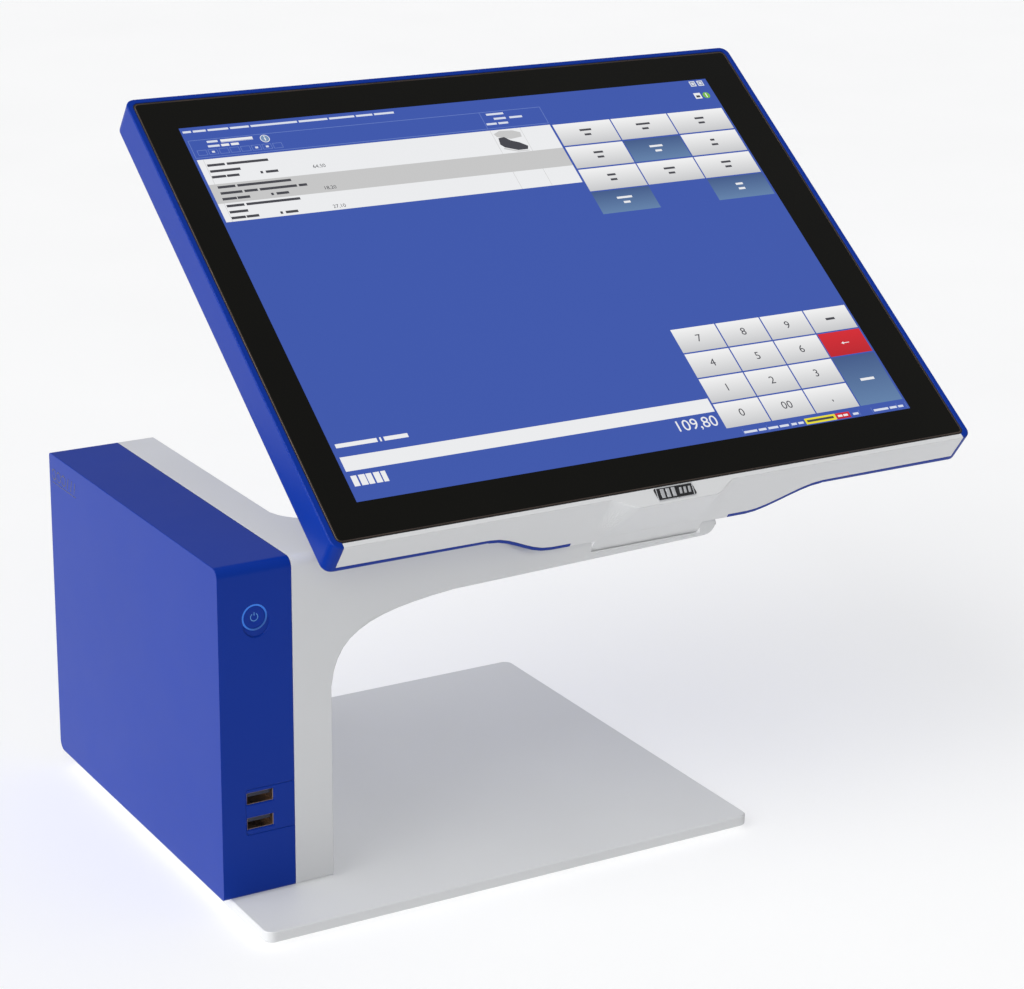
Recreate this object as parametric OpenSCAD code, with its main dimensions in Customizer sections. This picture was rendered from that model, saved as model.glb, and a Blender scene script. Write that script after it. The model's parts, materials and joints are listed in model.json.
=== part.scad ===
// Touchscreen point-of-sale terminal: a tilting 15 inch display on a side arm,
// with a plug-in computer module beside the column. Front faces -Y, +Z is up.

/* [Computer module] */
// Width of the module, across X
module_w = 35.5; // [34:0.1:40]
// Depth of the module, along Y
module_d = 197.4; // [190:0.1:205]
// Height of the module
module_h = 156; // [152:0.1:160]
// Wall thickness of the module's plastic shell
module_wall = 2.2; // [1.8:0.1:3]

/* [Column and arm] */
// Width of the column beside the module
column_w = 18.6; // [17:0.1:22]
// Seam between the module and the column
column_seam = 0.3; // [0.2:0.1:0.6]
// Wall thickness of the cast stand
stand_wall = 2.6; // [2.2:0.1:3.2]
// X of the arm's free end
arm_end = 259.3; // [255:0.1:262]
// Depth of the arm, along Y
arm_d = 45; // [42:0.5:48]
// Height of the arm's top at its free end
tip_top = 142; // [141:0.1:142.2]
// Height of the arm's underside at its free end
tip_bottom = 128.9; // [128.4:0.1:129.2]

/* [Base plate] */
// Width of the base plate
plate_w = 254.5; // [250:0.5:270]
// Depth of the base plate
plate_d = 228.4; // [225:0.5:240]
// Thickness of the base plate
plate_t = 5.1; // [4.5:0.1:6]
// Height of the rubber feet below the plate
foot_h = 1.8; // [1.5:0.1:3]

/* [Hinge] */
// Tilt of the screen from level, as drawn
tilt = 36.3; // [30:0.1:40]
// Y of the hinge axis
axis_y = 6.5; // [6.4:0.1:6.8]
// Z of the hinge axis
axis_z = 137; // [136.8:0.1:137.2]
// Outer radius of the white hinge barrel
barrel_r = 6.5; // [6.3:0.1:6.5]
// Length of the hinge barrel
barrel_w = 59.6; // [56:0.2:60]
// Radius of the hinge shaft
shaft_r = 2.5; // [2.4:0.1:2.6]

/* [Display] */
// Width of the cover glass
glass_w = 342.5; // [340:0.5:345]
// Height of the cover glass
glass_h = 265.9; // [262:0.1:268]
// Rim of the housing outside the glass
rim = 3.4; // [3:0.1:4]
// Thickness of the display housing at its edge
head_t = 18.7; // [18:0.1:20]
// Distance from the hinge axis to the glass face
axis_to_glass = 39; // [38.8:0.1:39.4]

/* [Power button] */
// Radius of the button cap
button_r = 5.2; // [4.6:0.1:5.4]
// Height of the button's centre
button_z = 131.7; // [128:0.1:134]

/* [Hidden] */

$fn = 48;

// Colours
blue = [0.11, 0.22, 0.62];
white = [0.82, 0.83, 0.84];
steel = [0.62, 0.63, 0.65];
dark = [0.08, 0.08, 0.08];
board = [0.07, 0.32, 0.16];
gold = [0.75, 0.60, 0.25];

// Module and column places
column_x = module_w + column_seam;
column_end = column_x + column_w;
plate_x = 3.9;
plate_y = -36;
plate_top = -0.7;
plate_bottom = plate_top - plate_t;
edge_r = 4.7;

// Head frame: X from the head's middle, Y up the glass, Z out of the glass, from the hinge axis
head_w = glass_w + 2 * rim;
head_mid = 45.3 + head_w / 2;
head_y0 = -barrel_r;
glass_y0 = head_y0 + 3.1;
glass_y1 = glass_y0 + glass_h;
head_y1 = glass_y1 + 3.3;
face_z = axis_to_glass;
back_z = face_z - head_t;
bulge_z = barrel_r;
glass_t = 3;
shell_t = 2;

// Bounding box of the whole part, for the origin at its bottom centre
back_round = 2;
box_x1 = head_mid + head_w / 2;
box_y0 = plate_y;
box_y1 = axis_y + (head_y1 - back_round) * cos(tilt) - (back_z + back_round) * sin(tilt) + back_round;
box_z0 = plate_bottom - foot_h;
origin = [box_x1 / 2, (box_y0 + box_y1) / 2, box_z0];

// Moves a shape from the module's corner to the part's own frame
module placed() { translate(-origin) children(); }

// Moves a shape from the head frame to the part's own frame
module in_head() {
  placed() translate([head_mid, axis_y, axis_z]) rotate([tilt, 0, 0]) children();
}

// ---- shared shapes ----

function arc(c, r, a0, a1, n = 8) =
  [for (i = [0:n]) c + r * [cos(a0 + (a1 - a0) * i / n), sin(a0 + (a1 - a0) * i / n)]];

// Rectangle from p to q with corner radii: lower left, lower right, upper right, upper left
function round_rect(p, q, r, n = 8) = concat(
  arc([p.x + r[0], p.y + r[0]], r[0], 180, 270, n),
  arc([q.x - r[1], p.y + r[1]], r[1], 270, 360, n),
  arc([q.x - r[2], q.y - r[2]], r[2], 0, 90, n),
  arc([p.x + r[3], q.y - r[3]], r[3], 90, 180, n));

function same_radii(r) = [r, r, r, r];

function smooth(t) = t <= 0 ? 0 : t >= 1 ? 1 : t * t * (3 - 2 * t);

function mix(a, b, t) = a + (b - a) * t;

// Closed solid through flat rings of equally many points, each counter-clockwise seen from the last one
module loft(rings) {
  n = len(rings[0]);
  last = (len(rings) - 1) * n;
  polyhedron(
    points = [for (r = rings) each r],
    faces = concat(
      [for (k = [0:len(rings) - 2], i = [0:n - 1]) let (a = k * n + i, b = k * n + (i + 1) % n)
        each [[a, a + n, b + n], [a, b + n, b]]],
      [[for (i = [0:n - 1]) i]],
      [[for (i = [0:n - 1]) last + n - 1 - i]]));
}

// Outline given in (Y, Z), drawn from x0 to x1
module along_x(x0, x1) {
  translate([x0, 0, 0]) rotate([90, 0, 90]) linear_extrude(x1 - x0) children();
}

// Outline given in (X, Z), drawn from y0 to y1
module along_y(y0, y1) {
  translate([0, y1, 0]) rotate([90, 0, 0]) linear_extrude(y1 - y0) children();
}

module box(p, q) { translate(p) cube(q - p); }

module rod_x(x0, x1, y, z, r) {
  translate([x0, y, z]) rotate([0, 90, 0]) cylinder(h = x1 - x0, r = r);
}

module rod_y(y0, y1, x, z, r) {
  translate([x, y0, z]) rotate([-90, 0, 0]) cylinder(h = y1 - y0, r = r);
}

module rod_z(z0, z1, x, y, r) { translate([x, y, z0]) cylinder(h = z1 - z0, r = r); }

// Screw along +Z: shank from 0 to length, head above it with a hexagon socket
module screw(shank_r, length, head_r, head_h) {
  cylinder(h = length, r = shank_r, $fn = 24);
  translate([0, 0, length]) difference() {
    cylinder(h = head_h, r = head_r, $fn = 32);
    translate([0, 0, head_h * 0.4]) cylinder(h = head_h, r = head_r * 0.45, $fn = 6);
  }
}

// ---- base ----

foot_places = [for (x = [22, plate_w - 22], y = [22, plate_d - 22]) [plate_x + x, plate_y + y]];
base_screw_places = [for (y = [30, 100, 170]) [column_x + column_w / 2, y]];
base_screw_r = 2;

module base_plate() {
  chamfer = 0.5;
  corner = 4.7;
  color(white) placed() difference() {
    hull() {
      translate([0, 0, plate_bottom + chamfer]) linear_extrude(plate_t - 2 * chamfer)
        polygon(round_rect([plate_x, plate_y], [plate_x + plate_w, plate_y + plate_d], same_radii(corner)));
      translate([0, 0, plate_bottom]) linear_extrude(plate_t)
        polygon(round_rect([plate_x + chamfer, plate_y + chamfer],
          [plate_x + plate_w - chamfer, plate_y + plate_d - chamfer], same_radii(corner - chamfer)));
    }
    for (p = base_screw_places) {
      rod_z(plate_bottom - 1, plate_top + 1, p.x, p.y, base_screw_r + 0.2);
      rod_z(plate_bottom - 1, plate_bottom + 2.6, p.x, p.y, 4.2);
    }
  }
}

module rubber_feet() {
  color(dark) placed() for (p = foot_places) rod_z(plate_bottom - foot_h, plate_bottom, p.x, p.y, 9);
}

module base_screws() {
  length = 7.2;
  color(steel) placed() for (p = base_screw_places)
    translate([p.x, p.y, plate_bottom + 2.6 + length]) mirror([0, 0, 1])
      screw(base_screw_r, length, 3.9, 2.2);
}

module foot_plate() {
  color(steel) placed() difference() {
    box([column_x + 2, 6, plate_top], [column_end - stand_wall - 0.3, module_d - 6, 4.4]);
    for (p = base_screw_places) rod_z(plate_top - 1, 6, p.x, p.y, base_screw_r + 0.05);
  }
}

// ---- column and arm ----

// Side outline shared by the module and the column
function side_outline(inset) = round_rect([inset, inset], [module_d - inset, module_h - inset],
  [1.5, edge_r, 1.8, edge_r - inset * 0.9]);

// Lower edge of the arm: a cubic sweep out of the column, then a long straight rise
sweep = [[column_end, 84.2], [column_end, 114.2], [72, 121.7], [118, 125.6]];
function sweep_point(t) = pow(1 - t, 3) * sweep[0] + 3 * t * pow(1 - t, 2) * sweep[1]
  + 3 * t * t * (1 - t) * sweep[2] + pow(t, 3) * sweep[3];

arm_slope_start = 128;
arm_slope_end = 159;
rear_fillet = 22;
tip_round = 5.5;

function arm_top(x) =
  mix(module_h, tip_top, smooth((x - arm_slope_start) / (arm_slope_end - arm_slope_start)));
function arm_top_round(x) = mix(edge_r, 6, smooth((x - 110) / 45));
function arm_bottom(x) = mix(sweep[3].y, tip_bottom, (x - sweep[3].x) / (arm_end - sweep[3].x));
function arm_rear(x) = x >= column_end + rear_fillet ? arm_d
  : arm_d + rear_fillet - sqrt(max(0, pow(rear_fillet, 2) - pow(column_end + rear_fillet - x, 2)));

// Cross-section of the arm in (Y, Z) at x, drawn at station x
function arm_section(x, low, high) = let (s = max(x, column_end), top_r = arm_top_round(s)) [for (p = concat(
  [for (i = [0:6]) [7 * (1 - cos(15 * i)), low + 2.8 * (1 - sin(15 * i))]],
  arc([arm_rear(s) - 3, low + 3], 3, 270, 360, 4),
  arc([arm_rear(s) - 3, high - 3], 3, 0, 90, 4),
  arc([top_r, high - top_r], top_r, 90, 180, 8)))
  [x, p.x, p.y]];

module arm_skin() {
  tip_stations = [for (i = [0:6]) [arm_end - tip_round * (1 - sin(15 * i)), tip_round * (1 - cos(15 * i))]];
  loft(concat(
    [arm_section(column_end - 1, sweep[0].y, module_h)],
    [for (i = [1:12]) let (p = sweep_point(i / 12)) arm_section(p.x, p.y, arm_top(p.x))],
    [for (x = [124:4:168]) arm_section(x, arm_bottom(x), arm_top(x))],
    [for (s = tip_stations) arm_section(s.x, arm_bottom(s.x) + 0.9 * s.y, tip_top - 0.25 * s.y)]));
}

// Cable space inside the arm, open to the column
cavity_end = 166;
cavity_x = [for (x = [128:4:cavity_end]) x];
module arm_cavity() {
  low = [for (i = [1:12]) let (p = sweep_point(i / 12), d = p - sweep_point((i - 0.5) / 12))
    p + (stand_wall + 0.6) * [-d.y, d.x] / norm(d)];
  high = [for (i = [len(cavity_x) - 1:-1:0]) [cavity_x[i], arm_top(cavity_x[i]) - stand_wall]];
  along_y(3, arm_d - 2.4) polygon(concat(
    [[column_end - 4, low[0].y]], low,
    [[cavity_end, arm_bottom(cavity_end) + stand_wall]],
    high, [[column_end - 4, module_h - stand_wall]]));
}

barrel_x0 = head_mid - barrel_w / 2;
barrel_x1 = head_mid + barrel_w / 2;
cradle_gap = 0.5;
anchor_r = 3.8;
lip_top = 131.95;

// Space for the hinge barrel between the arm's two cheeks
module hinge_mouth() {
  x0 = barrel_x0 - 0.4;
  x1 = barrel_x1 + 0.4;
  rod_x(x0, x1, axis_y, axis_z, barrel_r + cradle_gap);
  box([x0, -1, lip_top], [x1, axis_y, module_h]);
  box([x0, -1, tip_top - 1], [x1, axis_y + 5, module_h]);
}

anchor_foot = [[axis_y + 2, 132.6], [24, 139.4]];
anchor_spans = [[175.5, barrel_x0 - 0.6], [barrel_x1 + 0.6, arm_end - 2.2]];

// Steel anchor that carries one end of the hinge shaft, from x0 to x1
module hinge_anchor(x0, x1, fit = 0) {
  rod_x(x0 - fit, x1 + fit, axis_y, axis_z, anchor_r + fit);
  box([x0 - fit, anchor_foot[0].x, anchor_foot[0].y - fit],
    [x1 + fit, anchor_foot[1].x + fit, anchor_foot[1].y + fit]);
}

module anchor_with_bore(span) {
  color(steel) placed() difference() {
    hinge_anchor(span[0], span[1]);
    rod_x(span[0] - 1, span[1] + 1, axis_y, axis_z, shaft_r + 0.02);
    rod_z(120, 150, (span[0] + span[1]) / 2, 18, 1.55);
  }
}

module hinge_anchor_left() { anchor_with_bore(anchor_spans[0]); }
module hinge_anchor_right() { anchor_with_bore(anchor_spans[1]); }

module anchor_screws() {
  color(steel) placed() for (s = anchor_spans)
    translate([(s[0] + s[1]) / 2, 18, 138.6]) mirror([0, 0, 1]) screw(1.5, 7.4, 2.7, 1.6);
}

module anchor_screw_holes() {
  for (s = anchor_spans) {
    rod_z(126, 134, (s[0] + s[1]) / 2, 18, 1.6);
    rod_z(126, 131.2, (s[0] + s[1]) / 2, 18, 2.9);
  }
}

arm_window = [[86, 131], [156, 137.5]];
rear_window = [[column_x + 3.2, 14], [column_end - 3.2, 128]];

module stand_shell() {
  g = stand_wall;
  color(white) placed() difference() {
    union() {
      along_x(column_x, column_end) polygon(side_outline(0));
      arm_skin();
    }
    difference() {
      box([column_x - 1, g, -1], [column_end - g, module_d - g, module_h - g]);
      for (p = side_screws) rod_x(column_x + 1.3, column_end - 1, p.x, p.y, 3);
      for (y = screw_y) box([column_x + 1.3, y - 1.5, module_h - 14], [column_end - 1, y + 1.5, module_h]);
    }
    for (p = side_screws) rod_x(column_x, column_x + 7, p.x, p.y, 1.52);
    arm_cavity();
    hinge_mouth();
    for (s = anchor_spans) hinge_anchor(s[0], s[1] + (s[0] < head_mid ? 1 : 0), 0.05);
    box([barrel_x1, anchor_foot[0].x, anchor_foot[0].y - 0.05],
      [barrel_x1 + 1, anchor_foot[1].x + 0.05, anchor_foot[1].y + 0.05]);
    rod_x(barrel_x1, barrel_x1 + 1, axis_y, axis_z, anchor_r + 0.05);
    rod_x(cavity_end - 8, 176, axis_y, axis_z, 2.2);
    anchor_screw_holes();
    along_y(arm_d - 2.6, arm_d + 1) arm_window_plan(0);
    along_y(module_d - g - 1, module_d + 1)
      polygon(round_rect(rear_window[0], rear_window[1], same_radii(2), 4));
  }
}

// Opening in the arm's rear wall, shrunk by gap
module arm_window_plan(gap) {
  polygon(round_rect(arm_window[0] + [gap, gap], arm_window[1] - [gap, gap], same_radii(1.5), 4));
}

module arm_rear_cover() {
  color(white) placed() difference() {
    along_y(arm_d - 2.3, arm_d - 0.05) arm_window_plan(0.2);
    for (x = arm_cover_screw_x) rod_y(arm_d - 3, arm_d + 1, x, 134.2, 1.3);
  }
}

arm_cover_screw_x = [arm_window[0].x + 5, arm_window[1].x - 5];

module arm_cover_screws() {
  color(steel) placed() for (x = arm_cover_screw_x)
    translate([x, arm_d - 5, 134.2]) rotate([-90, 0, 0]) screw(1.2, 4.95, 2.2, 0.8);
}

module column_rear_cover() {
  gap = 0.25;
  x_mid = (rear_window[0].x + rear_window[1].x) / 2;
  color(white) placed() difference() {
    along_y(module_d - stand_wall, module_d - 0.1)
      polygon(round_rect(rear_window[0] + [gap, gap], rear_window[1] - [gap, gap], same_radii(2), 4));
    along_y(module_d - 4, module_d + 1)
      polygon(round_rect([x_mid - 3, 18], [x_mid + 3, 34], same_radii(2.9), 6));
    for (i = [0:5]) box([x_mid - 4, module_d - 4, 96 + 4 * i], [x_mid + 4, module_d + 1, 98 + 4 * i]);
  }
}

screw_y = [12, module_d - 12];
side_screws = [for (y = screw_y, z = [14, module_h - 14]) [y, z]];

module column_side_plate() {
  color(steel) placed() difference() {
    box([column_x, stand_wall + 0.1, 5],
      [column_x + 1.2, module_d - stand_wall - 0.1, module_h - stand_wall - 0.1]);
    box([column_x - 1, dock_y - 14, dock_z - 5], [column_x + 2, dock_y + 14, dock_z + 5]);
    for (p = side_screws) {
      rod_x(column_x - 1, column_x + 2, p.x, p.y, 1.6);
      rod_x(column_x - 1, column_x + 0.75, p.x, p.y, 2.5);
    }
  }
}

module side_plate_screws() {
  color(steel) placed() for (p = side_screws)
    translate([column_x + 5.5, p.x, p.y]) rotate([0, -90, 0]) screw(1.5, 4.8, 2.4, 0.6);
}

dock_y = 120;
dock_z = 64;

// Multi-way connector half: a body with a slot, drawn from x0 to x1
module dock_socket() {
  color(dark) placed() difference() {
    box([column_x + 0.1, dock_y - 13.8, dock_z - 4.8], [column_x + 9, dock_y + 13.8, dock_z + 4.8]);
    box([column_x - 1, dock_y - 11, dock_z - 2], [column_x + 6, dock_y + 11, dock_z + 2]);
  }
}

module dock_plug() {
  color(dark) placed() union() {
    box([module_w - 5.2, dock_y - 13, dock_z - 4], [module_w - 1.6, dock_y + 13, dock_z + 4]);
    box([module_w - 1.6, dock_y - 10.6, dock_z - 1.6], [column_x + 4.5, dock_y + 10.6, dock_z + 1.6]);
  }
}

// Round cable through a list of points
module cable(points, r) {
  for (i = [0:len(points) - 2]) hull() {
    translate(points[i]) sphere(r = r, $fn = 12);
    translate(points[i + 1]) sphere(r = r, $fn = 12);
  }
}

cable_r = 1.2;
cable_route = [
  [column_x + 10.3, dock_y, dock_z], [column_x + 12, dock_y, dock_z], [column_x + 12, dock_y, 132],
  [column_x + 12, 104, 148], [column_x + 12, 30, 148], [64, 20, 146], [124, 20, 144], [150, 16, 136.5],
  [160, 8, axis_z], [164, axis_y, axis_z], [head_mid - 3, axis_y, axis_z]];

module arm_cable() { color(dark) placed() cable(cable_route, cable_r); }

// Shaft with a hollow for the cable and a slot where the cable leaves it
module hinge_shaft() {
  hollow_r = cable_r + 0.2;
  x0 = anchor_spans[0][0] + 0.2;
  color(steel) placed() difference() {
    rod_x(x0, anchor_spans[1][1] - 0.2, axis_y, axis_z, shaft_r);
    rod_x(x0 - 1, head_mid - 0.5, axis_y, axis_z, hollow_r);
    box([head_mid - 6, axis_y - hollow_r, axis_z], [head_mid - 0.5, axis_y + hollow_r, axis_z + 4]);
  }
}

module shaft_rings() {
  color(steel) placed() for (x = [barrel_x0 - 0.37, barrel_x1 - 0.13]) difference() {
    rod_x(x, x + 0.5, axis_y, axis_z, 4.4);
    rod_x(x - 1, x + 2, axis_y, axis_z, shaft_r + 0.02);
  }
}

// ---- computer module ----

button_x = 17.5;
ring_r = 6.05;
usb_x = 18.7;
usb_z = [46.7, 34.7];
usb_panel_gap = 0.18;
usb_panel = [[11.6, 29.4], [module_w + usb_panel_gap, 51.3]];
chassis_x = module_w - 1.6;
pcb_x = 27;
pcb_t = 1.6;
io_window = [[4, 12], [module_w - 2.4, module_h - 12]];

module module_shell() {
  w = module_wall;
  color(blue) placed() difference() {
    along_x(0, module_w) polygon(side_outline(0));
    along_x(w, module_w + 1) polygon(round_rect([w, w], [module_d - w, module_h - w], [1, 2.5, 1, 2.5], 6));
    rod_y(-1, 5, button_x, button_z, ring_r + 0.05);
    rod_y(-1, 0.6, button_x + 0.8, button_z - 3, ring_r + 0.3);
    along_y(-1, 5) polygon(round_rect(usb_panel[0], usb_panel[1] + [1, 0], [1.4, 0.2, 0.2, 1.4], 4));
    along_y(module_d - 5, module_d + 1) polygon(round_rect(io_window[0], io_window[1], same_radii(1.5), 4));
    for (i = [0:11]) translate([9, 46 + 10 * i, -1]) cube([16, 3, 5]);
  }
}

module_screw_places = [[8, 10], [8, module_h - 9], [module_d - 9, 9], [module_d - 9, module_h - 9], [100, 9]];

module module_chassis() {
  color(steel) placed() difference() {
    along_x(chassis_x, chassis_x + 1.2) polygon(round_rect([module_wall + 0.2, module_wall + 0.2],
      [module_d - module_wall - 0.2, module_h - module_wall - 0.2], same_radii(3)));
    box([chassis_x - 1, dock_y - 13.5, dock_z - 4.5], [chassis_x + 3, dock_y + 13.5, dock_z + 4.5]);
    for (p = module_screw_places) rod_x(chassis_x - 1, chassis_x + 2, p.x, p.y, 1.6);
    for (p = standoff_places) rod_x(chassis_x - 1, chassis_x + 2, p.x, p.y, 1.3);
  }
}

module module_screws() {
  color(steel) placed() for (p = module_screw_places)
    translate([chassis_x - 6, p.x, p.y]) rotate([0, 90, 0]) screw(1.5, 7.2, 2.6, 0.35);
}

standoff_places = [for (y = [18, 176], z = [20, 140]) [y, z]];

module mainboard() {
  color(board) placed() {
    difference() {
      box([pcb_x, 12, 14], [pcb_x + pcb_t, 182, 146]);
      for (p = standoff_places) rod_x(pcb_x - 1, pcb_x + 3, p.x, p.y, 1.6);
    }
    for (p = standoff_places) difference() {
      rod_x(pcb_x + pcb_t, chassis_x, p.x, p.y, 2.6);
      rod_x(pcb_x, chassis_x + 1, p.x, p.y, 1.3);
    }
    box([pcb_x - 2.4, 92, 72], [pcb_x, 122, 102]);
    for (i = [0:5]) rod_x(pcb_x - 9, pcb_x, 140 + 7 * (i % 3), 96 + 9 * floor(i / 3), 2.8);
    for (i = [0:3]) box([pcb_x - 5, 70 + 8 * i, 118], [pcb_x, 76 + 8 * i, 124]);
  }
}

module heatsink() {
  color(steel) placed() union() {
    box([pcb_x - 5.4, 84, 64], [pcb_x - 2.4, 130, 110]);
    for (i = [0:9]) box([pcb_x - 19, 84.6 + 4.8 * i, 64], [pcb_x - 5.4, 86 + 4.8 * i, 110]);
  }
}

module memory_module() {
  color(board) placed() union() {
    box([pcb_x - 4, 30, 66], [pcb_x, 34, 136]);
    box([pcb_x - 5.2, 34, 67.2], [pcb_x - 4, 63, 134.8]);
    for (i = [0:3]) box([pcb_x - 6.2, 42, 70 + 16 * i], [pcb_x - 5.2, 54, 81 + 16 * i]);
  }
}

module solid_state_drive() {
  color(steel) placed() along_x(4, 11) polygon(round_rect([66, 18], [166, 60], same_radii(2), 4));
}

module coin_battery() {
  color(steel) placed() rod_x(pcb_x - 3.4, pcb_x, 152, 60, 10);
}

// Flat plate of the front socket panel, flush in the module's front wall
module usb_panel() {
  gap = usb_panel_gap;
  color(blue) placed() difference() {
    along_y(0.02, 2.1)
      polygon(round_rect(usb_panel[0] + [gap, gap], usb_panel[1] - [gap, gap], [1.3, 0.2, 0.2, 1.3], 4));
    for (z = usb_z) box([usb_x - 6.7, -1, z - 3], [usb_x + 6.7, 3, z + 3]);
  }
}

usb_shell_w = 13.1;
usb_shell_h = 5.7;
usb_depth = 14.2;
usb_recess = 0.8;

// Pressed steel jacket of one socket, centred at z, open to the front
module usb_shell(z) {
  t = 0.3;
  y0 = usb_recess;
  color(steel) placed() difference() {
    box([usb_x - usb_shell_w / 2, y0, z - usb_shell_h / 2],
      [usb_x + usb_shell_w / 2, y0 + usb_depth, z + usb_shell_h / 2]);
    box([usb_x - usb_shell_w / 2 + t, y0 - 1, z - usb_shell_h / 2 + t],
      [usb_x + usb_shell_w / 2 - t, y0 + usb_depth - t, z + usb_shell_h / 2 - t]);
    for (dx = [-3, 3]) box([usb_x + dx - 0.8, y0 + 3, z], [usb_x + dx + 0.8, y0 + 6.5, z + 5]);
  }
}

module usb_tongue(z) {
  y0 = usb_recess;
  color("royalblue") placed() union() {
    box([usb_x - 5.6, y0 + 1.4, z + 0.2], [usb_x + 5.6, y0 + 12, z + 2]);
    box([usb_x - 6.1, y0 + 12, z - 2.4], [usb_x + 6.1, y0 + 13.8, z + 2.4]);
    for (i = [0:3])
      box([usb_x - 3.9 + 2.3 * i, y0 + 2.2, z + 0.05], [usb_x - 2.9 + 2.3 * i, y0 + 11, z + 0.2]);
  }
}

module usb_shell_upper() { usb_shell(usb_z[0]); }
module usb_shell_lower() { usb_shell(usb_z[1]); }
module usb_tongue_upper() { usb_tongue(usb_z[0]); }
module usb_tongue_lower() { usb_tongue(usb_z[1]); }

module usb_board() {
  x0 = usb_x + usb_shell_w / 2 + 0.05;
  color(board) placed() union() {
    box([x0, 2.4, 30], [x0 + 1.2, 24, 53]);
    box([x0 - 4, 18, 34], [x0, 23, 49]);
  }
}

// ---- power button: a cap inside a lit ring, on a dome switch ----

cap_front = 0.15;
cap_depth = 3.4;
button_travel = 0.8;
stem = 1.6;

module power_button() {
  color(blue) placed() difference() {
    union() {
      rod_y(cap_front, cap_depth, button_x, button_z, button_r);
      rod_y(cap_depth - 1, cap_depth, button_x, button_z, button_r + 0.7);
      rod_y(cap_depth, cap_depth + stem, button_x, button_z, 1.2);
    }
    translate([button_x, cap_front - 18.9, button_z]) sphere(r = 19.2, $fn = 96);
  }
}

module light_ring() {
  color("cyan") placed() difference() {
    union() {
      rod_y(0, 2.2, button_x, button_z, ring_r);
      rod_y(2.2, 7.35, button_x, button_z, ring_r + 1);
    }
    rod_y(-1, 8, button_x, button_z, button_r + 0.08);
    rod_y(2.25, 8, button_x, button_z, button_r + 0.85);
  }
}

module button_board() {
  color(board) placed() box([button_x - 9, 7.4, button_z - 10], [button_x + 9, 8.6, button_z + 10]);
}

// Dome switch behind the cap: its dome pushes the cap back out
module tact_switch() {
  color(dark) placed() union() {
    box([button_x - 3, 6.2, button_z - 3], [button_x + 3, 7.4, button_z + 3]);
    rod_y(cap_depth + stem + button_travel + 0.1, 6.2, button_x, button_z, 1.5);
  }
}

// ---- rear sockets ----

port_x = 18;
rear_y = module_d - 1.4;

module socket_cut(z, w, h, depth = 30) {
  box([port_x - w / 2, rear_y - depth, z - h / 2], [port_x + w / 2, rear_y + 5, z + h / 2]);
}

module io_panel() {
  color(steel) placed() difference() {
    along_y(rear_y - 1, rear_y)
      polygon(round_rect(io_window[0] + [0.2, 0.2], io_window[1] - [0.2, 0.2], same_radii(1.3), 4));
    rod_y(rear_y - 3, rear_y + 2, port_x, 26, 4.7);
    socket_cut(47, 16.6, 14.2);
    socket_cut(70, 14.2, 16.6);
    socket_cut(98, 13, 31.6);
    socket_cut(128, 13.6, 12.2);
  }
}

module power_inlet() {
  color(dark) placed() difference() {
    union() {
      rod_y(rear_y - 3, rear_y + 0.6, port_x, 26, 4.6);
      box([port_x - 5.5, rear_y - 14, 20.5], [port_x + 5.5, rear_y - 1.05, 31.5]);
    }
    rod_y(rear_y - 11, rear_y + 1, port_x, 26, 3.2);
  }
  color(gold) placed() rod_y(rear_y - 11, rear_y - 1, port_x, 26, 1);
}

module network_port() {
  color(steel) placed() difference() {
    box([port_x - 8.2, rear_y - 16, 40], [port_x + 8.2, rear_y + 0.3, 54]);
    box([port_x - 5.9, rear_y - 13, 42.2], [port_x + 5.9, rear_y + 1, 49.6]);
    box([port_x - 2, rear_y - 13, 49], [port_x + 2, rear_y + 1, 52]);
  }
}

module rear_usb_port() {
  color(steel) placed() difference() {
    box([port_x - 7, rear_y - 16, 61.8], [port_x + 7, rear_y + 0.3, 78.2]);
    for (z = [65.7, 74.3]) difference() {
      box([port_x - 6.4, rear_y - 14, z - 2.5], [port_x + 6.4, rear_y + 1, z + 2.5]);
      box([port_x - 5.6, rear_y - 14.5, z + 0.2], [port_x + 5.6, rear_y - 1.2, z + 2]);
    }
  }
}

module serial_port() {
  color(steel) placed() difference() {
    union() {
      box([port_x - 6.3, rear_y - 10, 82.4], [port_x + 6.3, rear_y + 0.2, 113.6]);
      along_y(rear_y, rear_y + 1.2)
        polygon(round_rect([port_x - 4.2, 89.4], [port_x + 4.2, 106.6], same_radii(2.4), 6));
    }
    along_y(rear_y - 5, rear_y + 2)
      polygon(round_rect([port_x - 3.7, 89.9], [port_x + 3.7, 106.1], same_radii(2), 6));
  }
  color(gold) placed() {
    for (i = [0:4]) rod_y(rear_y - 6, rear_y, port_x + 1.4, 92.5 + 2.75 * i, 0.5);
    for (i = [0:3]) rod_y(rear_y - 6, rear_y, port_x - 1.4, 93.9 + 2.75 * i, 0.5);
  }
}

module drawer_port() {
  color(dark) placed() difference() {
    box([port_x - 6.6, rear_y - 15, 122.1], [port_x + 6.6, rear_y + 0.3, 133.9]);
    box([port_x - 4.9, rear_y - 12, 124], [port_x + 4.9, rear_y + 1, 130]);
    box([port_x - 1.8, rear_y - 12, 129], [port_x + 1.8, rear_y + 1, 132.4]);
  }
}

// ---- display head ----

cover_half = head_w / 2 - 5.2;
bulge_half = 54;
bulge_end = 92;
bulge_top = 168;
bulge_fade = 36;
cover_back = back_z + 4;
strip_h = 2.6;

// Depth of the rear bulge at x: full in the middle, falling in a soft S to the slab
function bulge_depth(x) =
  mix(bulge_z, back_z + 1.2, smooth((abs(x) - bulge_half) / (bulge_end - bulge_half)));
bulge_steps = 7;
bulge_xs = concat([for (i = [0:bulge_steps]) -bulge_end + (bulge_end - bulge_half) * i / bulge_steps],
  [for (i = [0:bulge_steps]) bulge_half + (bulge_end - bulge_half) * i / bulge_steps]);

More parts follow.
